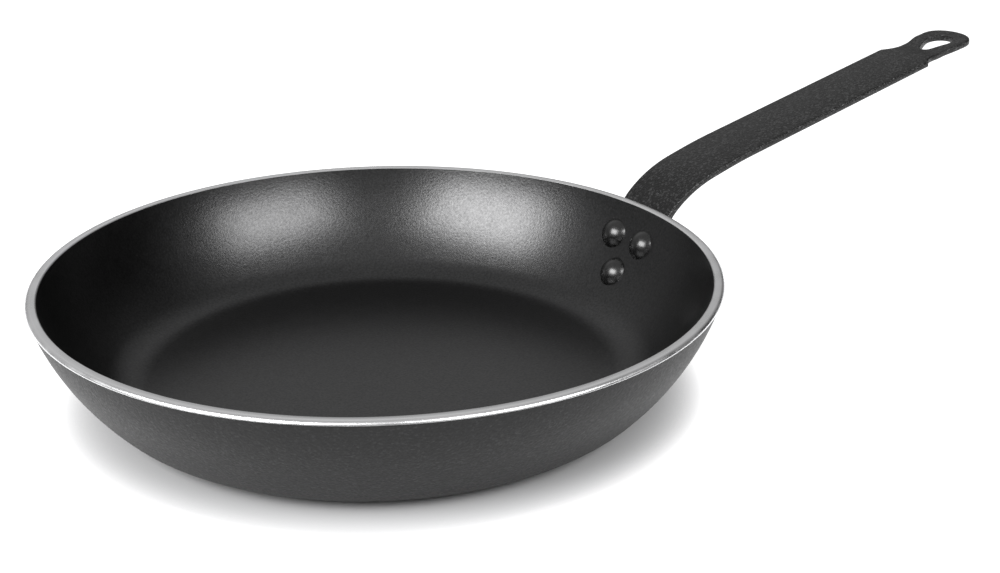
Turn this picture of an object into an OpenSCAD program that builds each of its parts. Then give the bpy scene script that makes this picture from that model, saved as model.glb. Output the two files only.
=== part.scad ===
// Omelette pan, 28 cm: a pressed aluminium pan with a lining, an outer lacquer and a riveted strip handle.
// Millimetres. The origin is the middle of the base, on the table. +Z is up and the handle points along +X.

/* [Pan] */
// Diameter over the rim
rim_d = 280; // [240:10:320]
// Height of the rim above the table
pan_h = 50; // [46:1:56]
// Thickness of the pressed sheet, coatings included
sheet_t = 4.2; // [3:0.1:5]
// Outer radius of the bend between the base and the wall
corner_r = 27; // [20:1:30]
// Lean of the wall where that bend ends, in degrees above the table
corner_lean = 46; // [42:1:50]
// Lean of the wall at the rim, in degrees above the table
rim_lean = 73; // [68:1:78]

/* [Rim] */
// Radius of the rounded outer edge
nose_r = 1.8; // [1.4:0.1:2]
// How far the rounded edge stands out past the wall
nose_out = 0.5; // [0.3:0.1:0.8]
// Size of the small bevel on the inner edge
rim_bevel = 0.4; // [0.2:0.1:0.8]
// Height of the bare band below the top of the rim
bare_band = 1.5; // [1.4:0.1:3]

/* [Coatings] */
// Thickness of the non-stick lining
lining_t = 0.3; // [0.2:0.1:0.5]
// Thickness of the outer lacquer
lacquer_t = 0.3; // [0.2:0.1:0.5]
// How far the bare base runs out past its flat before the lacquer starts
bare_base = 3; // [2:0.5:5]

/* [Handle] */
// Thickness of the steel strip
strip_t = 3; // [2.5:0.1:3.5]
// Width at the pan
root_w = 32.4; // [30:0.2:36]
// Width at the shoulder that ends the grip
grip_w = 31.4; // [28:0.2:33]
// How far the foot reaches below the lower rivet
foot_below = 10; // [9:0.5:11]
// How far above the upper rivets the strip leaves the wall
lift_above = 9; // [8:0.5:10]
// Radius of the bend that lifts the strip off the wall
lift_r = 29; // [26:1:36]
// Rise of the strip as it passes the rim, in degrees
rim_rise = 45; // [42:1:50]
// Radius of the main bend above the rim
bend_r = 55; // [45:1:70]
// Rise where the main bend ends, in degrees
bend_rise = 18.8; // [15:0.1:24]
// Radius of the slow curve into the grip
sweep_r = 225; // [150:5:300]
// Rise of the grip, in degrees
grip_rise = 12.35; // [11:0.05:14]
// Length of the straight grip
grip_l = 116.2; // [90:0.2:140]
// How much higher the middle of the grip is than its edges
grip_crown = 1.1; // [0.5:0.1:2]
// Radius of the strip's rounded edges
edge_r = 0.9; // [0.5:0.1:1.2]

/* [Hanging end] */
// Length from the shoulder to the tip
tab_l = 39.4; // [38:0.1:44]
// Rise of the hanging end, in degrees
tab_rise = 10; // [8:0.1:10.5]
// Width at the neck
neck_w = 23.8; // [20:0.2:25]
// How far the neck sags below the line of the grip's edges
neck_sag = 0.7; // [0:0.1:1]
// Width across the eye
eye_w = 27; // [25:0.2:29]
// Distance from the shoulder to the wide end of the eye
eye_at = 25.2; // [24:0.1:27]
// Radius of the eye's wide end
eye_r = 6.9; // [5:0.1:7]
// Radius of the eye's narrow end
eye_small_r = 3.2; // [2.5:0.1:4]
// Distance between the centres of those two ends
eye_l = 9.2; // [8:0.1:10]
// Depth of the shallow dish that the eye is in
eye_dish = 0.4; // [0:0.1:1]

/* [Rivets] */
// Diameter of the domed head inside the pan
head_d = 14; // [12:0.5:15]
// Height of the domed head
head_h = 4.2; // [3:0.1:5]
// Diameter of the shank and of its bore
shank_d = 6; // [5:0.5:6.5]
// Diameter of the formed tail on the handle
tail_d = 11; // [9:0.5:12]
// Height of the formed tail
tail_h = 2.4; // [1.5:0.1:3]
// Depth of the flat that each tail sits on
spot_depth = 0.2; // [0.1:0.1:0.4]
// Height of the two upper rivets on the inside of the wall
upper_rivet_h = 35.4; // [34:0.1:36]
// Height of the lower rivet on the inside of the wall
lower_rivet_h = 21.4; // [20:0.1:22]
// Distance between the two upper rivets
rivet_gap = 19.2; // [18:0.2:20]

/* [Hidden] */
$fn = 64;
// Finer steps for the surfaces of the pan itself, which are wide
pan_fn = 360;

rim_r = rim_d / 2;
// The wall is one arc that starts where the corner bend ends, and both arcs share the normal there.
wall_r = (pan_h - nose_r - corner_r * (1 - cos(corner_lean))) / (cos(corner_lean) - cos(rim_lean));
base_r = rim_r - nose_out - corner_r * sin(corner_lean) - wall_r * (sin(rim_lean) - sin(corner_lean));
wall_c = [base_r - (wall_r - corner_r) * sin(corner_lean),
          corner_r + (wall_r - corner_r) * cos(corner_lean)];
lacquer_top = pan_h - bare_band;

// Lean of the wall at a height on its inner face, and the radius there
function wall_lean(h) = acos((wall_c.y - h) / (wall_r - sheet_t));
function inner_radius(h) = wall_c.x + (wall_r - sheet_t) * sin(wall_lean(h));

upper_lean = wall_lean(upper_rivet_h);
lower_lean = wall_lean(lower_rivet_h);
rivet_turn = asin(rivet_gap / 2 / inner_radius(upper_rivet_h));
// Azimuth and height of each rivet
UPPER_LEFT = [rivet_turn, upper_rivet_h];
UPPER_RIGHT = [-rivet_turn, upper_rivet_h];
LOWER = [0, lower_rivet_h];

// The middle line of the strip's upper face, as stations [x, z, rise, distance along the strip].
// bed sinks the foot a little into the wall, which is then cut out of it, so that the two fit.
bed = 0.2;
foot_lean = lower_lean - foot_below / wall_r * 180 / PI;
lift_lean = upper_lean + lift_above / wall_r * 180 / PI;
function bend(from, rise, radius, steps) =
    let (k = rise > from[2] ? -radius : radius)
    [for (i = [1 : steps])
        let (a = from[2] + (rise - from[2]) * i / steps)
        [from[0] + k * (sin(from[2]) - sin(a)),
         from[1] + k * (cos(a) - cos(from[2])),
         a,
         from[3] + radius * abs(a - from[2]) * PI / 180]];
function straight(from, lengths) =
    [for (d = lengths) [from[0] + d * cos(from[2]), from[1] + d * sin(from[2]), from[2], from[3] + d]];
function last(list) = list[len(list) - 1];

foot_start = [wall_c.x + (wall_r - bed) * sin(foot_lean),
              wall_c.y - (wall_r - bed) * cos(foot_lean),
              foot_lean, 0];
// The foot's rounded end takes close stations
end_steps = [0.02, 0.12, 0.28, 0.5, 0.75];
foot_end = [for (f = end_steps) last(bend(foot_start, foot_lean + f * (lower_lean - foot_lean), wall_r, 1))];
foot = bend(last(foot_end), lift_lean, wall_r, 7);
lift = bend(last(foot), rim_rise, lift_r, 5);
main_bend = bend(last(lift), bend_rise, bend_r, 8);
sweep = bend(last(main_bend), grip_rise, sweep_r, 5);
grip = straight(last(sweep), [for (f = [0.2, 0.4, 0.6, 0.8, 1]) grip_l * f]);
shoulder = last(grip);
drop_l = 6;
drop_r = drop_l / (grip_rise - tab_rise) * 180 / PI;
tab_start = bend(shoulder, tab_rise, drop_r, 4);
// The tip is rounded too, so its stations close up towards the end
tip_l = 10;
tab = straight(last(tab_start),
               concat([for (i = [1 : 12]) (tab_l - drop_l - tip_l) * i / 12],
                      [for (a = [20, 38, 53, 65, 74, 80, 84]) tab_l - drop_l - tip_l * (1 - sin(a))]));
stations = concat([foot_start], foot_end, foot, lift, main_bend, sweep, grip, tab_start, tab);
crown_from = last(lift)[3];
crown_to = last(sweep)[3];

// Half the width of the strip, without its rounded ends. Past the shoulder it narrows to the neck,
// and then flares out to the eye.
neck_at = 10.5;
flare_from = 14;
flare_to = 24;
function tab_half(d) =
    d < neck_at
        ? neck_w / 2 + (grip_w - neck_w) / 2 * pow(1 - d / neck_at, 3)
        : neck_w / 2 + (eye_w - neck_w) / 2 * blend((d - flare_from) / (flare_to - flare_from));
function strip_half(s) =
    s <= shoulder[3]
        ? (root_w + (grip_w - root_w) * s / shoulder[3]) / 2
        : tab_half(s - shoulder[3]);
// The share of the width that is left at a rounded end, d before the end
function end_share(d, length) = d >= length ? 1 : sqrt(1 - pow(1 - max(d, 0.01) / length, 2));
foot_round = 13;
function half_width(s) =
    strip_half(s) * end_share(s + 0.4, foot_round) * end_share(shoulder[3] + tab_l - s, tip_l);

// The foot is hollow across, to fit the wall, and the grip is arched across, to fit the hand.
function blend(x) = (1 - cos(180 * max(0, min(1, x)))) / 2;
function arch(st) =
    grip_crown - (grip_crown + eye_dish) * blend((st[3] - shoulder[3]) / (eye_at - eye_l));
function crown(st) =
    let (w = half_width(st[3]),
         hollow = -w * w * sin(st[2]) / (2 * st[0]),
         high = arch(st) * pow(w / strip_half(st[3]), 2))
    hollow + (high - hollow) * blend((st[3] - crown_from + 12) / (crown_to - crown_from));
// Past the shoulder the middle sinks as the arch turns into the dish, and the neck sags a little.
function sag(st) = neck_sag * (1 - cos(360 * max(0, min(1, (st[3] - shoulder[3]) / flare_to)))) / 2;
function sink(st) = grip_crown - arch(st) + sag(st);

// One cross-section as [across, up]: the upper face, a rounded edge, the lower face and the other edge
face_steps = 6;
edge_steps = 3;
function section(half, high) =
    let (flat = half - edge_r,
         side = -high,
         upper = [for (i = [0 : face_steps]) let (f = 2 * i / face_steps - 1) [f * flat, -high * f * f]])
    concat(upper,
           [for (i = [1 : edge_steps]) let (a = 90 - 90 * i / edge_steps)
               [flat + edge_r * cos(a), side - edge_r + edge_r * sin(a)]],
           [for (i = [0 : edge_steps - 1]) let (a = -90 * i / edge_steps)
               [flat + edge_r * cos(a), side - strip_t + edge_r + edge_r * sin(a)]],
           [for (i = [face_steps : -1 : 0]) [upper[i].x, upper[i].y - strip_t]],
           [for (i = [edge_steps - 1 : -1 : 0]) let (a = -90 * i / edge_steps)
               [-flat - edge_r * cos(a), side - strip_t + edge_r + edge_r * sin(a)]],
           [for (i = [edge_steps : -1 : 1]) let (a = 90 - 90 * i / edge_steps)
               [-flat - edge_r * cos(a), side - edge_r + edge_r * sin(a)]]);

// The space inside the pan's surface, moved inwards by depth: a floor, a corner bend and the wall
module inside_profile(depth, top = pan_h) {
    intersection() {
        union() {
            translate([0, depth])
                square([base_r, 2 * pan_h]);
            translate([base_r, corner_r])
                circle(corner_r - depth, $fn = pan_fn);
            intersection() {
                translate(wall_c)
                    circle(wall_r - depth, $fn = pan_fn);
                polygon([wall_c,
                         wall_c + 2 * rim_r * [sin(corner_lean), -cos(corner_lean)],
                         [3 * rim_r, wall_c.y]]);
            }
        }
        square([2 * rim_r, top]);
    }
}

// The rounded and bevelled edge of the rim, which is left bare
module rim_profile() {
    difference() {
        union() {
            translate([rim_r - nose_r, pan_h - nose_r])
                circle(nose_r);
            translate([rim_r - 2 * sheet_t, lacquer_top])
                square([2 * sheet_t - nose_r, bare_band]);
            intersection() {
                inside_profile(0, pan_h - nose_r);
                translate([rim_r - 2 * sheet_t, lacquer_top])
                    square([2 * sheet_t, bare_band]);
            }
        }
        inside_profile(sheet_t - lining_t);
        translate([rim_r - 2 * sheet_t, 0])
            square([2 * sheet_t, lacquer_top]);
        rim_bevel_profile();
    }
}

module rim_bevel_profile() {
    inner = wall_c.x + sqrt(pow(wall_r - sheet_t, 2) - pow(wall_c.y - pan_h, 2));
    polygon([[inner - sheet_t, pan_h - rim_bevel],
             [inner, pan_h - rim_bevel],
             [inner + rim_bevel, pan_h],
             [inner + rim_bevel, pan_h + 1],
             [inner - sheet_t, pan_h + 1]]);
}

// Puts its children on the inner face of the wall, with +Z square to the wall and outwards
module at_rivet(place) {
    rotate([0, 0, place[0]])
        translate([inner_radius(place[1]), 0, place[1]])
            rotate([0, 180 - wall_lean(place[1]), 0])
                children();
}

// Bores through the wall and the strip for the shanks
module shank_bores() {
    for (place = [UPPER_LEFT, UPPER_RIGHT, LOWER])
        at_rivet(place)
            translate([0, 0, -sheet_t])
                cylinder(d = shank_d, h = 3 * sheet_t + strip_t);
}

module pan_body() {
    color("silver")
        difference() {
            rotate_extrude($fn = pan_fn) {
                difference() {
                    union() {
                        inside_profile(lacquer_t, lacquer_top);
                        intersection() {
                            inside_profile(0);
                            square([base_r + bare_base, lacquer_t]);
                        }
                    }
                    inside_profile(sheet_t - lining_t);
                }
                rim_profile();
            }
            shank_bores();
        }
}

module nonstick_lining() {
    color([0.12, 0.12, 0.13])
        difference() {
            rotate_extrude($fn = pan_fn)
                difference() {
                    inside_profile(sheet_t - lining_t);
                    inside_profile(sheet_t, 2 * pan_h);
                    rim_bevel_profile();
                }
            shank_bores();
        }
}

module outer_lacquer() {
    color([0.27, 0.27, 0.28])
        difference() {
            rotate_extrude($fn = pan_fn)
                difference() {
                    inside_profile(0, lacquer_top);
                    inside_profile(lacquer_t, 2 * pan_h);
                    square([base_r + bare_base, lacquer_t]);
                }
            shank_bores();
        }
}

// The strip, as one skin over its cross-sections
module strip() {
    rings = [for (st = stations)
        [for (p = section(half_width(st[3]), crown(st)))
            let (up = p.y - sink(st))
                [st[0] - up * sin(st[2]), -p.x, st[1] + up * cos(st[2])]]];
    n = len(rings[0]);
    m = len(rings);
    polyhedron(points = [for (ring = rings) for (p = ring) p],
               faces = concat([[for (j = [0 : n - 1]) j]],
                              [for (i = [0 : m - 2]) for (j = [0 : n - 1])
                                  [i * n + j, (i + 1) * n + j, (i + 1) * n + (j + 1) % n]],
                              [for (i = [0 : m - 2]) for (j = [0 : n - 1])
                                  [i * n + j, (i + 1) * n + (j + 1) % n, i * n + (j + 1) % n]],
                              [[for (j = [n - 1 : -1 : 0]) (m - 1) * n + j]]));
}

// The eye is wide towards the tip and narrow towards the grip.
module eye() {
    spread = asin((eye_r - eye_small_r) / eye_l);
    start = last(tab_start);
    translate([start[0], 0, start[1]])
        rotate([0, -start[2], 0])
            translate([eye_at - drop_l, 0, -2 * strip_t])
                linear_extrude(3 * strip_t) {
                    circle(eye_r);
                    translate([-eye_l, 0])
                        circle(eye_small_r);
                    polygon([[-eye_r * sin(spread), eye_r * cos(spread)],
                             [-eye_l - eye_small_r * sin(spread), eye_small_r * cos(spread)],
                             [-eye_l - eye_small_r * sin(spread), -eye_small_r * cos(spread)],
                             [-eye_r * sin(spread), -eye_r * cos(spread)]]);
                }
}

module handle() {
    color([0.25, 0.25, 0.26])
        difference() {
            strip();
            rotate_extrude($fn = pan_fn)
                inside_profile(0, pan_h - nose_r);
            shank_bores();
            for (place = [UPPER_LEFT, UPPER_RIGHT, LOWER])
                at_rivet(place)
                    translate([0, 0, sheet_t + strip_t - spot_depth])
                        cylinder(d = tail_d, h = strip_t);
            eye();
        }
}

// A dome on the XY plane
module dome(d, h) {
    ball_r = (d * d / 4 + h * h) / (2 * h);
    intersection() {
        translate([0, 0, h - ball_r])
            sphere(ball_r);
        cylinder(d = 2 * d, h = 2 * h);
    }
}

// A rivet: its head is seated on the curved wall, its shank fills the bores, and its tail is formed on the strip.
module rivet(place) {
    grip_t = sheet_t + strip_t - spot_depth;
    color([0.1, 0.1, 0.11])
        union() {
            intersection() {
                at_rivet(place)
                    translate([0, 0, 0.5])
                        mirror([0, 0, 1])
                            dome(head_d + 0.6, head_h + 0.5);
                rotate_extrude($fn = pan_fn)
                    inside_profile(sheet_t, 2 * pan_h);
            }
            at_rivet(place) {
                translate([0, 0, -head_h / 2])
                    cylinder(d = shank_d, h = grip_t + head_h / 2 + tail_h / 4);
                translate([0, 0, grip_t])
                    dome(tail_d, tail_h);
            }
        }
}

module rivet_upper_left() {
    rivet(UPPER_LEFT);
}

module rivet_upper_right() {
    rivet(UPPER_RIGHT);
}

module rivet_lower() {
    rivet(LOWER);
}

pan_body();
nonstick_lining();
outer_lacquer();
handle();
rivet_upper_left();
rivet_upper_right();
rivet_lower();
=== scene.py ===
import math

import bpy
from mathutils import Matrix, Vector
from mathutils.geometry import delaunay_2d_cdt


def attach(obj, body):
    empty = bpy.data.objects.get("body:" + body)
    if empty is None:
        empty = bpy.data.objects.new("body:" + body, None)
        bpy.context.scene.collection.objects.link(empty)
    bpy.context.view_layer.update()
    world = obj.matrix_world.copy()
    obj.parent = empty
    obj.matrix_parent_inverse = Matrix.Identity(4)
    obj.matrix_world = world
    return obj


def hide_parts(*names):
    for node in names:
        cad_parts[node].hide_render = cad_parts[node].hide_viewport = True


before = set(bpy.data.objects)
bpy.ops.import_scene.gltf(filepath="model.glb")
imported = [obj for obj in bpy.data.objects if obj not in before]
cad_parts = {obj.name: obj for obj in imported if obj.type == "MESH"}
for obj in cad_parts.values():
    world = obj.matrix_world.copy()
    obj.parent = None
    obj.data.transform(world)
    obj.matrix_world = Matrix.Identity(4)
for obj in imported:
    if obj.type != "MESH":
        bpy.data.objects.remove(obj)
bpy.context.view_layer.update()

mm = 0.001
print("frame loaded:", len(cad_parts), "nodes")


def rad(degrees):
    return math.radians(degrees)


def addObject(name, data):
    thing = bpy.data.objects.new(name, data)
    bpy.context.scene.collection.objects.link(thing)
    return thing


def meshPiece(name, shape, material, nodes, crease=32):
    # shape is (points in millimetres, faces), and edges that turn by more than crease stay sharp
    points, faces = shape
    mesh = bpy.data.meshes.new(name)
    mesh.from_pydata([Vector(p) * mm for p in points], [], faces)
    mesh.validate()
    mesh.materials.append(material)
    mesh.shade_smooth()
    mesh.set_sharp_from_angle(angle=rad(crease))
    thing = addObject(name, mesh)
    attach(thing, "root")
    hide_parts(*nodes)


def turned(profile, steps):
    # turns a closed profile of (radius, height) about the Z axis
    # a profile that runs anticlockwise gives faces that look outwards
    points, rings = [], []
    for radius, height in profile:
        if radius < 1e-6:
            rings.append([len(points)])
            points.append((0, 0, height))
        else:
            rings.append(list(range(len(points), len(points) + steps)))
            for i in range(steps):
                a = 2 * math.pi * i / steps
                points.append((radius * math.cos(a), radius * math.sin(a), height))
    faces = []
    for k, ring in enumerate(rings):
        nextRing = rings[(k + 1) % len(rings)]
        if len(ring) == 1 and len(nextRing) == 1:
            continue
        for i in range(steps):
            j = (i + 1) % steps
            if len(ring) == 1:
                faces.append((ring[0], nextRing[j], nextRing[i]))
            elif len(nextRing) == 1:
                faces.append((ring[i], ring[j], nextRing[0]))
            else:
                faces.append((ring[i], ring[j], nextRing[j], nextRing[i]))
    return points, faces


pan = {
    "rimDiameter": 280, "height": 50, "sheet": 4.2,
    "cornerRadius": 27, "cornerLean": 46, "rimLean": 73,
    "noseRadius": 1.8, "noseOut": 0.5, "noseUp": 0.06, "noseIn": 0.12, "noseSteps": 14,
    # the inner edge of the rim as (out from the wall, down from the top)
    "rimEdge": ((0.52, 0), (0.4, 0.03), (0.05, 0.38), (0, 0.44)),
    # each layer ends a little below the rim, with a lip as (width, depth)
    "lining": 0.3, "liningDown": 0.5, "liningLip": (0.1, 0.08),
    "lacquer": 0.3, "lacquerDown": 1.5, "lacquerLip": (0.08, 0.1), "bareBase": 3,
    # the underside has a dimple as (radius, height) and turned grooves as (across, height)
    "dimple": ((0, 0.5), (9, 0.5), (9.6, 0.42), (10.2, 0.1), (10.8, 0)),
    "groove": ((-0.9, 0), (-0.5, 0.18), (0, 0.25), (0.5, 0.18), (0.9, 0)),
    "grooveRadii": (34, 62, 90),
    "floorStep": 4, "wallStep": 1, "steps": 480,
}

rimRadius = pan["rimDiameter"] / 2
cornerLean, rimLean = rad(pan["cornerLean"]), rad(pan["rimLean"])
wallRadius = ((pan["height"] - pan["noseRadius"] - pan["cornerRadius"] * (1 - math.cos(cornerLean)))
              / (math.cos(cornerLean) - math.cos(rimLean)))
baseRadius = (rimRadius - pan["noseOut"] - pan["cornerRadius"] * math.sin(cornerLean)
              - wallRadius * (math.sin(rimLean) - math.sin(cornerLean)))
wallCentre = (baseRadius - (wallRadius - pan["cornerRadius"]) * math.sin(cornerLean),
              pan["cornerRadius"] + (wallRadius - pan["cornerRadius"]) * math.cos(cornerLean))
lacquerStart = baseRadius + pan["bareBase"]
lacquerTop = pan["height"] - pan["lacquerDown"]
liningTop = pan["height"] - pan["liningDown"]


def wallAt(depth, height):
    # radius of the wall at a height, depth below its outer surface
    drop = wallCentre[1] - height
    return wallCentre[0] + math.sqrt((wallRadius - depth) ** 2 - drop * drop)


def skinLine(depth, top, startRadius=0.0):
    # from the floor out and up the wall to a height, depth below the outer surface
    line = []
    corner, wall = pan["cornerRadius"] - depth, wallRadius - depth
    if startRadius < baseRadius:
        flat = baseRadius - startRadius
        count = max(2, round(flat / pan["floorStep"]))
        line += [(startRadius + flat * i / count, depth) for i in range(count)]
        fromLean = 0.0
    else:
        fromLean = math.asin((startRadius - baseRadius) / corner)
    count = max(6, round(corner * (cornerLean - fromLean) / pan["wallStep"]))
    for i in range(count):
        a = fromLean + (cornerLean - fromLean) * i / count
        line.append((baseRadius + corner * math.sin(a), pan["cornerRadius"] - corner * math.cos(a)))
    topLean = math.acos((wallCentre[1] - top) / wall)
    count = max(8, round(wall * (topLean - cornerLean) / pan["wallStep"]))
    for i in range(count + 1):
        a = cornerLean + (topLean - cornerLean) * i / count
        line.append((wallCentre[0] + wall * math.sin(a), wallCentre[1] - wall * math.cos(a)))
    return line


def bodyProfile():
    # the bare base, then under the lacquer to the rim, and back under the lining
    height, nose, almost = pan["height"], pan["noseRadius"], 0.01
    line = list(pan["dimple"])
    for radius in pan["grooveRadii"]:
        line += [(radius + across, up) for across, up in pan["groove"]]
    line += [p for p in skinLine(0, lacquerTop) if baseRadius - almost < p[0] < lacquerStart]
    line += skinLine(pan["lacquer"], lacquerTop, lacquerStart)
    line += [(wallAt(0, lacquerTop), lacquerTop), (rimRadius - pan["noseIn"], lacquerTop)]
    noseCentre = (rimRadius - nose, height - nose)
    first = math.asin((lacquerTop + pan["noseUp"] - noseCentre[1]) / nose)
    for i in range(pan["noseSteps"] + 1):
        a = first + (math.pi / 2 - first) * i / pan["noseSteps"]
        line.append((noseCentre[0] + nose * math.cos(a), noseCentre[1] + nose * math.sin(a)))
    inner = wallAt(pan["sheet"], height)
    line += [(inner + out, height - down) for out, down in pan["rimEdge"]]
    return line + skinLine(pan["sheet"] - pan["lining"], liningTop)[::-1]


def liningProfile():
    lipWidth, lipDepth = pan["liningLip"]
    face = skinLine(pan["sheet"], liningTop - lipDepth)
    back = skinLine(pan["sheet"] - pan["lining"], liningTop)
    return back + [(wallAt(pan["sheet"], liningTop) + lipWidth, liningTop)] + face[::-1]


def lacquerProfile():
    lipWidth, lipDepth = pan["lacquerLip"]
    face = skinLine(0, lacquerTop - lipDepth, lacquerStart)
    back = skinLine(pan["lacquer"], lacquerTop, lacquerStart)
    return face + [(wallAt(0, lacquerTop) - lipWidth, lacquerTop)] + back[::-1]


strip = {
    "thickness": 3, "rootWidth": 32.4, "gripWidth": 31.4, "edgeRadius": 0.9, "edgeTurns": 5,
    "footBelow": 10, "footRound": 13, "footStart": 0.4, "liftAbove": 9,
    "liftRadius": 29, "rimRise": 45, "bendRadius": 55, "bendRise": 18.8,
    "sweepRadius": 225, "gripRise": 12.35, "gripLength": 116.2,
    "gripCrown": 1.1, "crownLead": 12, "bed": 0.2,
    "footSteps": 22, "tipSteps": 23, "outlineStep": 1.3,
    # the inner points of its faces: steps along, rows each side, and shares of a step
    "gridStep": 1.6, "gridRows": 11, "rowShare": 0.95, "staggerShare": 0.2, "gapShare": 0.6,
}
tab = {
    "length": 39.4, "rise": 10, "dropLength": 6, "neckWidth": 23.8, "neckAt": 10.5, "neckSag": 0.7,
    "flareFrom": 14, "flareTo": 24, "eyeWidth": 27, "tipLength": 10, "dish": 0.4,
    "eyeAt": 25.2, "eyeRadius": 6.9, "eyeSmallRadius": 3.2, "eyeLength": 9.2, "eyeEdge": 0.3,
    "eyeSteps": 32, "eyeSmallSteps": 16, "eyeSideSteps": 7,
}
rivets = {
    "upperHeight": 35.4, "lowerHeight": 21.4, "gap": 19.2, "shank": 6, "spot": 0.2, "steps": 96,
    "headDiameter": 14, "headHeight": 4.2, "headSteps": 18,
    "skirtOut": 0.12, "skirtDeep": 0.25, "headDeep": 0.6,
    "tailDiameter": 11, "tailHeight": 2.4, "tailSteps": 15, "tailIn": 0.1, "tailEdge": 0.15,
}


def wallLean(height):
    return math.acos((wallCentre[1] - height) / (wallRadius - pan["sheet"]))


def stripPath():
    # the middle of the upper face: arcs and straights as (x, z, rise, from, length, radius)
    lower, upper = wallLean(rivets["lowerHeight"]), wallLean(rivets["upperHeight"])
    footLean = lower - strip["footBelow"] / wallRadius
    liftLean = upper + strip["liftAbove"] / wallRadius
    x = wallCentre[0] + (wallRadius - strip["bed"]) * math.sin(footLean)
    z = wallCentre[1] - (wallRadius - strip["bed"]) * math.cos(footLean)
    dropTurn = rad(strip["gripRise"] - tab["rise"])
    legs = [
        (liftLean, wallRadius),
        (rad(strip["rimRise"]), strip["liftRadius"]),
        (rad(strip["bendRise"]), strip["bendRadius"]),
        (rad(strip["gripRise"]), strip["sweepRadius"]),
        (None, strip["gripLength"]),
        (rad(tab["rise"]), tab["dropLength"] / dropTurn),
        (None, tab["length"] - tab["dropLength"]),
    ]
    path, rise, along = [], footLean, 0.0
    for target, size in legs:
        if target is None:
            path.append((x, z, rise, along, size, 0))
            x, z, along = x + size * math.cos(rise), z + size * math.sin(rise), along + size
        else:
            turn = size if target < rise else -size
            length = size * abs(target - rise)
            path.append((x, z, rise, along, length, turn))
            x += turn * (math.sin(rise) - math.sin(target))
            z += turn * (math.cos(target) - math.cos(rise))
            rise, along = target, along + length
    return path, along


stripLegs, stripLength = stripPath()
liftEnd, sweepEnd, shoulderAt = stripLegs[2][3], stripLegs[4][3], stripLegs[5][3]


def stationAt(s):
    for x, z, rise, start, _, turn in reversed(stripLegs):
        if s >= start or start == 0:
            break
    if turn == 0:
        return x + (s - start) * math.cos(rise), z + (s - start) * math.sin(rise), rise
    a = rise - (s - start) / turn
    return x + turn * (math.sin(rise) - math.sin(a)), z + turn * (math.cos(a) - math.cos(rise)), a


def ease(x):
    return (1 - math.cos(math.pi * max(0.0, min(1.0, x)))) / 2


def endShare(d, length):
    return 1.0 if d >= length else math.sqrt(1 - (1 - max(d, 0.001) / length) ** 2)


def fullHalf(s):
    # half the width, before the ends are rounded
    if s <= shoulderAt:
        return (strip["rootWidth"] + (strip["gripWidth"] - strip["rootWidth"]) * s / shoulderAt) / 2
    d, neck, grip = s - shoulderAt, tab["neckWidth"], strip["gripWidth"]
    if d < tab["neckAt"]:
        return neck / 2 + (grip - neck) / 2 * (1 - d / tab["neckAt"]) ** 3
    flare = ease((d - tab["flareFrom"]) / (tab["flareTo"] - tab["flareFrom"]))
    return neck / 2 + (tab["eyeWidth"] - neck) / 2 * flare


def halfWidth(s):
    return (fullHalf(s) * endShare(s + strip["footStart"], strip["footRound"])
            * endShare(stripLength - s, tab["tipLength"]))


def archAt(s):
    fade = ease((s - shoulderAt) / (tab["eyeAt"] - tab["eyeLength"]))
    return strip["gripCrown"] - (strip["gripCrown"] + tab["dish"]) * fade


def sagAt(s):
    share = max(0.0, min(1.0, (s - shoulderAt) / tab["flareTo"]))
    return tab["neckSag"] * (1 - math.cos(2 * math.pi * share)) / 2


def stripPoint(s, across, depth):
    # a point of the strip, depth below its upper face
    x, z, rise = stationAt(s)
    hollow = -math.sin(rise) / (2 * x)
    arched = archAt(s) / (fullHalf(s) - strip["edgeRadius"]) ** 2
    crowned = ease((s - liftEnd + strip["crownLead"]) / (sweepEnd - liftEnd))
    bow = hollow + (arched - hollow) * crowned
    up = -bow * across * across - (strip["gripCrown"] - archAt(s)) - sagAt(s) - depth
    return x - up * math.sin(rise), across, z + up * math.cos(rise)


def stripOutline():
    # one half of the outline as (s, half width), then both halves as a closed loop
    side = []
    first, count = math.acos(1 - strip["footStart"] / strip["footRound"]), strip["footSteps"]
    for i in range(count):
        a = first + (math.pi / 2 - first) * i / count
        side.append(strip["footRound"] * (1 - math.cos(a)) - strip["footStart"])
    start, end = strip["footRound"] - strip["footStart"], stripLength - tab["tipLength"]
    for a, b in ((start, shoulderAt), (shoulderAt, end)):
        count = round((b - a) / strip["outlineStep"])
        side += [a + (b - a) * i / count for i in range(count)]
    count = strip["tipSteps"]
    for i in range(count):
        a = math.pi / 2 * (1 - i / count)
        side.append(stripLength - tab["tipLength"] * (1 - math.cos(a)))
    left = [(s, -halfWidth(s)) for s in side]
    return left + [(stripLength, 0.0)] + [(s, -h) for s, h in reversed(left)]


def arcPoints(x, radius, first, last, steps):
    # an arc about a point on the strip's middle line
    angles = [first + (last - first) * i / steps for i in range(steps + 1)]
    return [(x + radius * math.cos(a), radius * math.sin(a)) for a in angles]


def between(a, b, steps):
    shares = [i / steps for i in range(1, steps)]
    return [(a[0] + (b[0] - a[0]) * f, a[1] + (b[1] - a[1]) * f) for f in shares]


def eyeOutline():
    # a teardrop, wide towards the tip
    wide, small, length = tab["eyeRadius"], tab["eyeSmallRadius"], tab["eyeLength"]
    slant = math.pi / 2 + math.asin((wide - small) / length)
    centre = shoulderAt + tab["eyeAt"]
    tipEnd = arcPoints(centre, wide, -slant, slant, tab["eyeSteps"])
    panEnd = arcPoints(centre - length, small, slant, 2 * math.pi - slant, tab["eyeSmallSteps"])
    return (tipEnd + between(tipEnd[-1], panEnd[0], tab["eyeSideSteps"])
            + panEnd + between(panEnd[-1], tipEnd[0], tab["eyeSideSteps"]))


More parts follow.
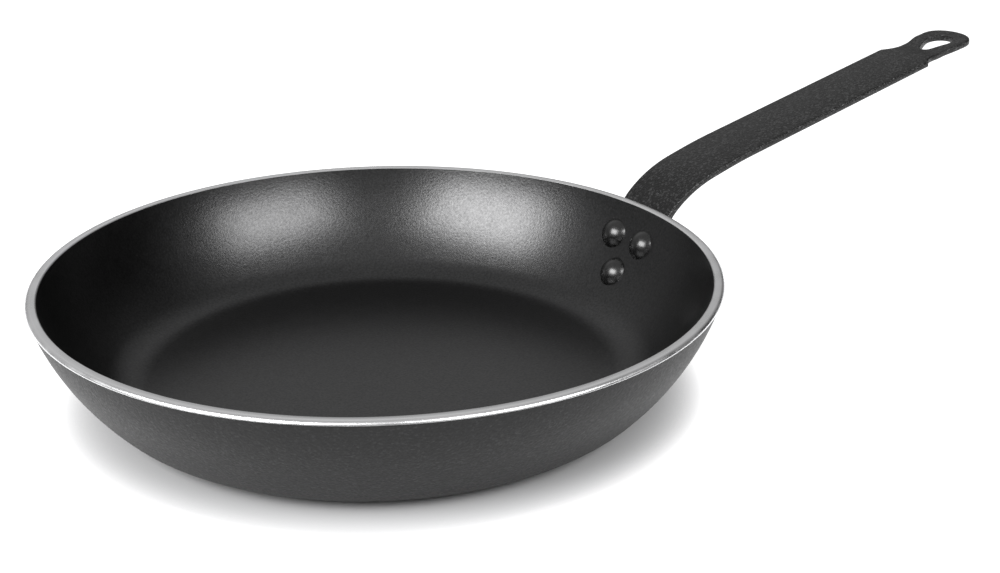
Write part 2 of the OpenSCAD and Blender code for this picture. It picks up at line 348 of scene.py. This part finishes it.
def loopNormals(loop):
    # outward normals of an anticlockwise loop, a little longer at its corners
    normals, leastCosine = [], 0.6
    for i, (x, y) in enumerate(loop):
        ax, ay = loop[i - 1]
        bx, by = loop[(i + 1) % len(loop)]
        one, two = Vector((y - ay, ax - x)).normalized(), Vector((by - y, x - bx)).normalized()
        both = (one + two).normalized()
        normals.append(both / max(leastCosine, both.dot(one)))
    return normals


def shifted(loop, normals, inset):
    return [(x - n.x * inset, y - n.y * inset) for (x, y), n in zip(loop, normals)]


def insideLoop(x, y, loop):
    inside = False
    for i in range(len(loop)):
        (ax, ay), (bx, by) = loop[i - 1], loop[i]
        if (ay > y) != (by > y) and x < (bx - ax) * (y - ay) / (by - ay) + ax:
            inside = not inside
    return inside


def nearLoop(x, y, loop, gap):
    return any((x - a) ** 2 + (y - b) ** 2 < gap * gap for a, b in loop)


def buildStrip():
    outline, eye = stripOutline(), eyeOutline()
    outNormals, eyeNormals = loopNormals(outline), loopNormals(eye)
    outRing = shifted(outline, outNormals, strip["edgeRadius"])
    eyeRing = shifted(eye, eyeNormals, -tab["eyeEdge"])

    def onFace(x, y, gap=0.0):
        return (insideLoop(x, y, outRing) and not nearLoop(x, y, outRing, gap)
                and not insideLoop(x, y, eyeRing) and not nearLoop(x, y, eyeRing, gap))

    # both faces share one flat net of triangles
    step, rows, grid = strip["gridStep"], strip["gridRows"], []
    for i in range(1, int(stripLength / step)):
        for j in range(-rows, rows + 1):
            x = i * step
            y = j * step * strip["rowShare"] + (i % 2) * step * strip["staggerShare"]
            if onFace(x, y, step * strip["gapShare"]):
                grid.append((x, y))
    n, m = len(outRing), len(eyeRing)
    edges = [(i, (i + 1) % n) for i in range(n)] + [(n + i, n + (i + 1) % m) for i in range(m)]
    flat = [Vector(p) for p in outRing + eyeRing + grid]
    net, _, triangles, _, _, _ = delaunay_2d_cdt(flat, edges, [], 0, 1e-6)
    upper = [tuple(tri) for tri in triangles
             if onFace(sum(net[k].x for k in tri) / 3, sum(net[k].y for k in tri) / 3)]
    base, thickness = len(net), strip["thickness"]
    points = [stripPoint(p.x, p.y, depth) for depth in (0, thickness) for p in net]
    faces = upper + [tuple(base + k for k in reversed(tri)) for tri in upper]

    def join(one, two, sign):
        for i in range(len(one)):
            j = (i + 1) % len(one)
            quad = (one[i], two[i], two[j], one[j])
            faces.append(quad if sign > 0 else quad[::-1])

    def wallRings(loop, normals, first, radius, sign):
        # rounded upper edge, side and rounded lower edge, from the upper ring to the lower one
        angles = [rad(90 * i / strip["edgeTurns"]) for i in range(1, strip["edgeTurns"] + 1)]
        steps = [(radius * (1 - math.sin(a)), radius * (1 - math.cos(a))) for a in angles]
        steps += [(inset, thickness - depth) for inset, depth in reversed(steps)]
        last = list(range(first, first + len(loop)))
        lowest = [base + k for k in last]
        for inset, depth in steps:
            ring = list(range(len(points), len(points) + len(loop)))
            points.extend(stripPoint(x, y, depth) for x, y in shifted(loop, normals, inset * sign))
            join(last, ring, sign)
            last = ring
        join(last, lowest, sign)

    wallRings(outline, outNormals, 0, strip["edgeRadius"], 1)
    wallRings(eye, eyeNormals, n, tab["eyeEdge"], -1)
    return points, faces


def domeRadius(half, rise):
    return (half * half + rise * rise) / (2 * rise)


def rivetProfile():
    # along its own axis: the head towards -Z inside the pan, the shank, and the tail on the strip
    shank = rivets["shank"] / 2
    head, rise, steps = rivets["headDiameter"] / 2, rivets["headHeight"], rivets["headSteps"]
    ball = domeRadius(head, rise)
    full = math.asin(head / ball)
    line = [(0, -rise)]
    for i in range(1, steps + 1):
        a = full * i / steps
        line.append((ball * math.sin(a), ball - rise - ball * math.cos(a)))
    skirt = head + rivets["skirtOut"]
    line += [(skirt, rivets["skirtDeep"]), (skirt, rivets["headDeep"]), (shank, rivets["headDeep"])]
    seat = pan["sheet"] + strip["thickness"] - rivets["spot"]
    tail, high, steps = rivets["tailDiameter"] / 2, rivets["tailHeight"], rivets["tailSteps"]
    edge = rivets["tailEdge"]
    line += [(shank, seat), (tail - rivets["tailIn"], seat), (tail, seat + edge)]
    ball = domeRadius(tail, high)
    full = math.asin(tail / ball)
    for i in range(1, steps):
        a = full * (1 - i / steps)
        up = seat + edge + high - ball + ball * math.cos(a) - edge * i / steps
        line.append((ball * math.sin(a), up))
    return line + [(0, seat + high)]


def rivetPlace(azimuth, height):
    around = Matrix.Rotation(azimuth, 4, "Z")
    toWall = Matrix.Translation((wallAt(pan["sheet"], height), 0, height))
    return around @ toWall @ Matrix.Rotation(math.pi - wallLean(height), 4, "Y")


def newMaterial(name):
    material = bpy.data.materials.new(name)
    material.use_nodes = True
    tree = material.node_tree
    tree.nodes.clear()
    shader = tree.nodes.new("ShaderNodeBsdfPrincipled")
    out = tree.nodes.new("ShaderNodeOutputMaterial")
    tree.links.new(shader.outputs["BSDF"], out.inputs["Surface"])
    return material, tree, shader


def addNode(tree, kind, inputs=None, **settings):
    node = tree.nodes.new("ShaderNode" + kind)
    for key, value in settings.items():
        setattr(node, key, value)
    for key, value in (inputs or {}).items():
        if isinstance(value, bpy.types.NodeSocket):
            tree.links.new(value, node.inputs[key])
        else:
            node.inputs[key].default_value = value
    return node


def calc(tree, operation, *values):
    return addNode(tree, "Math", dict(enumerate(values)), operation=operation).outputs[0]


def objectPlace(tree):
    return addNode(tree, "TexCoord").outputs["Object"]


def grain(tree, place, scale, detail=2.0, rough=0.5):
    return addNode(tree, "TexNoise", {"Vector": place, "Scale": scale, "Detail": detail,
                                      "Roughness": rough}).outputs["Fac"]


def grainAndLumps(tree, place, scale):
    # the fine grain of a sprayed coat and its lumps, five times as large
    return grain(tree, place, scale, 2.0, 0.55), grain(tree, place, scale / 5)


def spread(tree, value, low, high, toLow=0.0, toHigh=1.0):
    return addNode(tree, "MapRange", {"Value": value, "From Min": low, "From Max": high,
                                      "To Min": toLow, "To Max": toHigh}).outputs["Result"]


def spreadGrain(tree, value, toLow, toHigh):
    # nearly all of a noise lies between these two
    return spread(tree, value, 0.3, 0.7, toLow, toHigh)


def grey(value):
    cool = 1.01
    return (value, value, value * cool, 1)


def toneRamp(tree, value, low, high):
    ramp = addNode(tree, "ValToRGB", {"Fac": value})
    ramp.color_ramp.elements[0].color = grey(low)
    ramp.color_ramp.elements[1].color = grey(high)
    return ramp.outputs["Color"]


def bumpFrom(tree, value, distance, strength=1.0, normal=None):
    inputs = {"Height": value, "Distance": distance, "Strength": strength}
    if normal is not None:
        inputs["Normal"] = normal
    return addNode(tree, "Bump", inputs).outputs["Normal"]


def radialPlace(tree, place, aroundScale):
    # (radius, height, a little of the way round), for marks that a lathe leaves
    parts = addNode(tree, "SeparateXYZ", {"Vector": place})
    x, y = parts.outputs["X"], parts.outputs["Y"]
    squares = calc(tree, "ADD", calc(tree, "MULTIPLY", x, x), calc(tree, "MULTIPLY", y, y))
    radius = calc(tree, "POWER", squares, 0.5)
    around = calc(tree, "MULTIPLY", calc(tree, "ARCTAN2", y, x), aroundScale)
    return addNode(tree, "CombineXYZ", {"X": radius, "Y": parts.outputs["Z"],
                                        "Z": around}).outputs["Vector"]


# grain, lines, smudge, haze and peel are noise scales, larger for finer, and bump is in metres
bareMetal = {"colour": 0.95, "darker": 0.08, "lighter": 0.03, "roughness": 0.28, "smoother": 0.05,
             "rougher": 0.08, "anisotropy": 0.5, "lines": 2600, "bump": 0.000015,
             "around": 0.0006, "smudge": 60}
liningFinish = {"colour": 0.078, "contrast": 0.5, "roughness": 0.294, "uneven": 0.012,
                "grain": 1000, "bump": 0.00009}
lacquerFinish = {"colour": 0.019, "contrast": 0.3, "roughness": 0.42, "uneven": 0.05,
                 "grain": 900, "bump": 0.0002, "ior": 1.26,
                 "flake": 0.045, "flakeShare": 0.22, "flakeScale": 1.5}
coatFinish = {"colour": 0.004, "contrast": 0.3, "roughness": 0.36, "uneven": 0.1,
              "grain": 850, "bump": 0.0007, "ior": 1.45,
              "flake": 0.1, "flakeShare": 0.25, "flakeScale": 1.5}
rivetFinish = {"colour": 0.003, "contrast": 0.3, "roughness": 0.26, "smoother": 0.04,
               "rougher": 0.06, "ior": 1.75, "haze": 500, "peel": 260, "bump": 0.00004}
bumpStrength = {"fine": 0.6, "wide": 0.5, "lumps": 0.3}


def finishTone(tree, value, finish):
    low, high = 1 - finish["contrast"], 1 + finish["contrast"]
    return toneRamp(tree, value, finish["colour"] * low, finish["colour"] * high)


def makeBareMetal():
    material, tree, shader = newMaterial("bareAluminiumTurned")
    place = radialPlace(tree, objectPlace(tree), bareMetal["around"])
    lines = grain(tree, place, bareMetal["lines"], 3.0, 0.6)
    wide = grain(tree, place, bareMetal["lines"] / 6)
    smudge = grain(tree, objectPlace(tree), bareMetal["smudge"], 3.0)
    shader.inputs["Metallic"].default_value = 1.0
    shader.inputs["Anisotropic"].default_value = bareMetal["anisotropy"]
    colour, roughness = bareMetal["colour"], bareMetal["roughness"]
    tone = toneRamp(tree, lines, colour - bareMetal["darker"], colour + bareMetal["lighter"])
    tree.links.new(tone, shader.inputs["Base Color"])
    tree.links.new(spreadGrain(tree, smudge, roughness - bareMetal["smoother"],
                               roughness + bareMetal["rougher"]), shader.inputs["Roughness"])
    fine = bumpFrom(tree, lines, bareMetal["bump"], bumpStrength["fine"])
    tree.links.new(bumpFrom(tree, wide, bareMetal["bump"] * 2, bumpStrength["wide"], fine),
                   shader.inputs["Normal"])
    return material


def makeLining():
    # the mica in its top layer mirrors as a dark metal does, with a very fine grain
    material, tree, shader = newMaterial("liningSatinBlack")
    fine, lumps = grainAndLumps(tree, objectPlace(tree), liningFinish["grain"])
    roughness, uneven = liningFinish["roughness"], liningFinish["uneven"]
    bump = liningFinish["bump"]
    shader.inputs["Metallic"].default_value = 1.0
    tree.links.new(finishTone(tree, fine, liningFinish), shader.inputs["Base Color"])
    tree.links.new(spreadGrain(tree, lumps, roughness + uneven, roughness - uneven),
                   shader.inputs["Roughness"])
    first = bumpFrom(tree, fine, bump, bumpStrength["fine"])
    tree.links.new(bumpFrom(tree, lumps, bump / 4, bumpStrength["lumps"], first),
                   shader.inputs["Normal"])
    return material


def makeCoating(name, finish):
    # satin coat: a fine grain, soft lumps and small mica flakes
    material, tree, shader = newMaterial(name)
    place = objectPlace(tree)
    fine, lumps = grainAndLumps(tree, place, finish["grain"])
    roughness, uneven, bump = finish["roughness"], finish["uneven"], finish["bump"]
    cells = addNode(tree, "TexVoronoi", {"Vector": place,
                                         "Scale": finish["grain"] * finish["flakeScale"]})
    chance = addNode(tree, "SeparateColor", {"Color": cells.outputs["Color"]}).outputs["Red"]
    flakes = spread(tree, chance, 1 - finish["flakeShare"], 1.0)
    mixed = addNode(tree, "Mix", {0: flakes, 6: finishTone(tree, fine, finish),
                                  7: grey(finish["flake"])}, data_type="RGBA")
    shader.inputs["IOR"].default_value = finish["ior"]
    tree.links.new(flakes, shader.inputs["Metallic"])
    tree.links.new(mixed.outputs[2], shader.inputs["Base Color"])
    tree.links.new(spreadGrain(tree, fine, roughness + uneven, roughness - uneven),
                   shader.inputs["Roughness"])
    first = bumpFrom(tree, fine, bump, bumpStrength["fine"])
    tree.links.new(bumpFrom(tree, lumps, bump, bumpStrength["lumps"], first),
                   shader.inputs["Normal"])
    return material


def makeRivetGloss():
    material, tree, shader = newMaterial("rivetGlossBlack")
    place, roughness = objectPlace(tree), rivetFinish["roughness"]
    haze = grain(tree, place, rivetFinish["haze"])
    peel = grain(tree, place, rivetFinish["peel"])
    shader.inputs["IOR"].default_value = rivetFinish["ior"]
    tree.links.new(finishTone(tree, haze, rivetFinish), shader.inputs["Base Color"])
    tree.links.new(spreadGrain(tree, haze, roughness - rivetFinish["smoother"],
                               roughness + rivetFinish["rougher"]), shader.inputs["Roughness"])
    tree.links.new(bumpFrom(tree, peel, rivetFinish["bump"], bumpStrength["wide"]),
                   shader.inputs["Normal"])
    return material


metal = makeBareMetal()
lining = makeLining()
lacquer = makeCoating("lacquerDarkGrey", lacquerFinish)
coat = makeCoating("handlePowderCoat", coatFinish)
rivetBlack = makeRivetGloss()
print("materials made")

for name, profile, material, slot, node in (
        ("panBody", bodyProfile(), metal, "bare_aluminium", "pan_body"),
        ("panLining", liningProfile(), lining, "nonstick", "nonstick_lining"),
        ("panLacquer", lacquerProfile(), lacquer, "lacquer", "outer_lacquer")):
    meshPiece(name, turned(profile, pan["steps"]), material, [node])
print("pan made")

meshPiece("stripHandle", buildStrip(), coat, ["handle"], 40)
print("handle made")

rivetPoints, rivetFaces = turned(rivetProfile(), rivets["steps"])
upperTurn = math.asin(rivets["gap"] / 2 / wallAt(pan["sheet"], rivets["upperHeight"]))
for name, node, azimuth, height in (
        ("rivetUpperLeft", "rivet_upper_left", upperTurn, rivets["upperHeight"]),
        ("rivetUpperRight", "rivet_upper_right", -upperTurn, rivets["upperHeight"]),
        ("rivetLower", "rivet_lower", 0.0, rivets["lowerHeight"])):
    place = rivetPlace(azimuth, height)
    moved = [place @ Vector(p) for p in rivetPoints]
    meshPiece(name, (moved, rivetFaces), rivetBlack, [node])
print("rivets made")

view = {
    "imageWidth": 1000, "focalPixels": 1615.4, "distance": 0.68053, "elevation": 25.004,
    "yaw": 4.257, "pitch": 3.132, "roll": 2.192, "handleAzimuth": 29.849,
    "sensorWidth": 36, "nearest": 0.01, "farthest": 50,
}


def placeCamera():
    # looks along +Y in its own frame, where the handle points to handleAzimuth
    # that frame is then turned to ours
    el = rad(view["elevation"])
    forward = Vector((0, math.cos(el), -math.sin(el)))
    right = Vector((1, 0, 0))
    up = right.cross(forward)
    position = -forward * view["distance"]
    yaw = Matrix.Rotation(-rad(view["yaw"]), 3, up)
    forward, right = yaw @ forward, yaw @ right
    pitch = Matrix.Rotation(rad(view["pitch"]), 3, right)
    forward, up = pitch @ forward, pitch @ up
    roll = Matrix.Rotation(rad(view["roll"]), 3, forward)
    right, up = roll @ right, roll @ up
    pose = Matrix((right, up, -forward)).transposed().to_4x4()
    pose.translation = position
    data = bpy.data.cameras.new("photoCamera")
    data.sensor_width = view["sensorWidth"]
    data.lens = view["focalPixels"] * view["sensorWidth"] / view["imageWidth"]
    data.clip_start, data.clip_end = view["nearest"], view["farthest"]
    camera = addObject("photoCamera", data)
    camera.matrix_world = Matrix.Rotation(-rad(view["handleAzimuth"]), 4, "Z") @ pose
    bpy.context.scene.camera = camera


placeCamera()

studio = {
    "floorColour": 0.6, "floorUneven": 0.01, "floorGrain": 12, "floorRoughness": 0.8,
    "floorSpecular": 0.1, "floorHalf": 3.0, "floorDrop": 0.0001,
    # the floor's glow, and the painted contact shadow that fades it within this reach of the pan,
    # to this power
    "floorGlow": 0.76, "paintedShadowReach": 0.018, "paintedShadowPower": 2.0,
    # how light it is all round, from the horizon up to the ceiling, in degrees
    "horizon": 0.23, "ceiling": 0.43, "fadeFrom": 3.5, "fadeTo": 81,
    # azimuths are as seen in the camera's own frame, where the camera is at -90
    # a flag shades one side and a backdrop lights another, from one share of the way to another
    "flag": {"azimuth": 25, "start": 0.45, "full": 0.92, "share": 0.975},
    "backdrop": {"azimuth": 90, "start": 0.35, "full": 0.8, "light": 0.24,
                 "foot": 0.28, "body": 0.48},
    "softboxes": [
        {"name": "leftSoftbox", "azimuth": -139.6, "elevation": 36.9, "distance": 3,
         "size": (2.21, 1.48), "level": 9.06},
        {"name": "rightSoftbox", "azimuth": -45, "elevation": 37.3, "distance": 3,
         "size": (2.0, 1.19), "level": 6.24},
    ],
}


def addSoftbox(box):
    # level is the brightness of its face, where 1 is white
    a, e = rad(box["azimuth"] - view["handleAzimuth"]), rad(box["elevation"])
    away = Vector((math.cos(a) * math.cos(e), math.sin(a) * math.cos(e), math.sin(e)))
    data = bpy.data.lights.new(box["name"], "AREA")
    data.shape = "RECTANGLE"
    data.size, data.size_y = box["size"]
    data.energy = box["level"] * math.pi * data.size * data.size_y
    lamp = addObject(box["name"], data)
    lamp.location = away * box["distance"]
    lamp.rotation_mode = "QUATERNION"
    lamp.rotation_quaternion = away.to_track_quat("Z", "Y")


for box in studio["softboxes"]:
    addSoftbox(box)


def sideShare(tree, direction, side, low, high):
    a = rad(side["azimuth"] - view["handleAzimuth"])
    towards = addNode(tree, "VectorMath", {0: direction, 1: (math.cos(a), math.sin(a), 0)},
                      operation="DOT_PRODUCT").outputs["Value"]
    return spread(tree, towards, side["start"], side["full"], low, high)


def makeWorld():
    # dim light all round, and plain white where the camera sees it
    world = bpy.data.worlds.new("studioWorld")
    bpy.context.scene.world = world
    world.use_nodes = True
    tree = world.node_tree
    tree.nodes.clear()
    rays = addNode(tree, "LightPath")
    direction = addNode(tree, "TexCoord").outputs["Generated"]
    height = addNode(tree, "SeparateXYZ", {"Vector": direction}).outputs["Z"]
    level = spread(tree, height, math.sin(rad(studio["fadeFrom"])), math.sin(rad(studio["fadeTo"])),
                   studio["horizon"], studio["ceiling"])
    flag, backdrop = studio["flag"], studio["backdrop"]
    shaded = calc(tree, "MULTIPLY", level, sideShare(tree, direction, flag, 1, 1 - flag["share"]))
    back = sideShare(tree, direction, backdrop, 0, backdrop["light"])
    raised = spread(tree, height, backdrop["foot"], backdrop["body"])
    level = calc(tree, "MULTIPLY_ADD", back, raised, shaded)
    seen = addNode(tree, "Background", {"Color": (1, 1, 1, 1), "Strength": 1.0})
    around = addNode(tree, "Background", {"Color": (1, 1, 1, 1), "Strength": level})
    mix = addNode(tree, "MixShader", {"Fac": rays.outputs["Is Camera Ray"],
                                      1: around.outputs[0], 2: seen.outputs[0]})
    out = addNode(tree, "OutputWorld")
    tree.links.new(mix.outputs[0], out.inputs["Surface"])


def makeFloor():
    # the camera and reflections also see a glow on it, which keeps it white
    # the glow fades where the pan is close, so the shadow stays, and this fade paints a dark
    # contact shadow round the pan's foot
    material, tree, shader = newMaterial("paleFloor")
    out = [n for n in tree.nodes if n.type == "OUTPUT_MATERIAL"][0]
    shader.inputs["Roughness"].default_value = studio["floorRoughness"]
    shader.inputs["Specular IOR Level"].default_value = studio["floorSpecular"]
    tone = grain(tree, objectPlace(tree), studio["floorGrain"])
    tree.links.new(toneRamp(tree, tone, studio["floorColour"] - studio["floorUneven"],
                            studio["floorColour"] + studio["floorUneven"]),
                   shader.inputs["Base Color"])
    rays = addNode(tree, "LightPath")
    # ambient occlusion dims the glow near the pan: a painted contact shadow
    openness = addNode(tree, "AmbientOcclusion", {"Distance": studio["paintedShadowReach"]})
    openShare = calc(tree, "POWER", openness.outputs["AO"], studio["paintedShadowPower"])
    strength = calc(tree, "MULTIPLY", openShare, studio["floorGlow"])
    glow = addNode(tree, "Emission", {"Color": (1, 1, 1, 1), "Strength": strength})
    dark = addNode(tree, "Emission", {"Color": (0, 0, 0, 1), "Strength": 0.0})
    seen = calc(tree, "MAXIMUM", rays.outputs["Is Camera Ray"], rays.outputs["Is Glossy Ray"])
    onlySeen = addNode(tree, "MixShader", {"Fac": seen, 1: dark.outputs[0], 2: glow.outputs[0]})
    both = addNode(tree, "AddShader", {0: shader.outputs["BSDF"], 1: onlySeen.outputs[0]})
    tree.links.new(both.outputs[0], out.inputs["Surface"])
    mesh = bpy.data.meshes.new("studioFloor")
    half = studio["floorHalf"]
    corners = [(-half, -half, 0), (half, -half, 0), (half, half, 0), (-half, half, 0)]
    mesh.from_pydata(corners, [], [(0, 1, 2, 3)])
    mesh.materials.append(material)
    floor = addObject("studioFloor", mesh)
    floor.location.z = -studio["floorDrop"]


makeWorld()
makeFloor()
bpy.context.scene.view_settings.view_transform = "Standard"
print("camera, lamps and floor made")
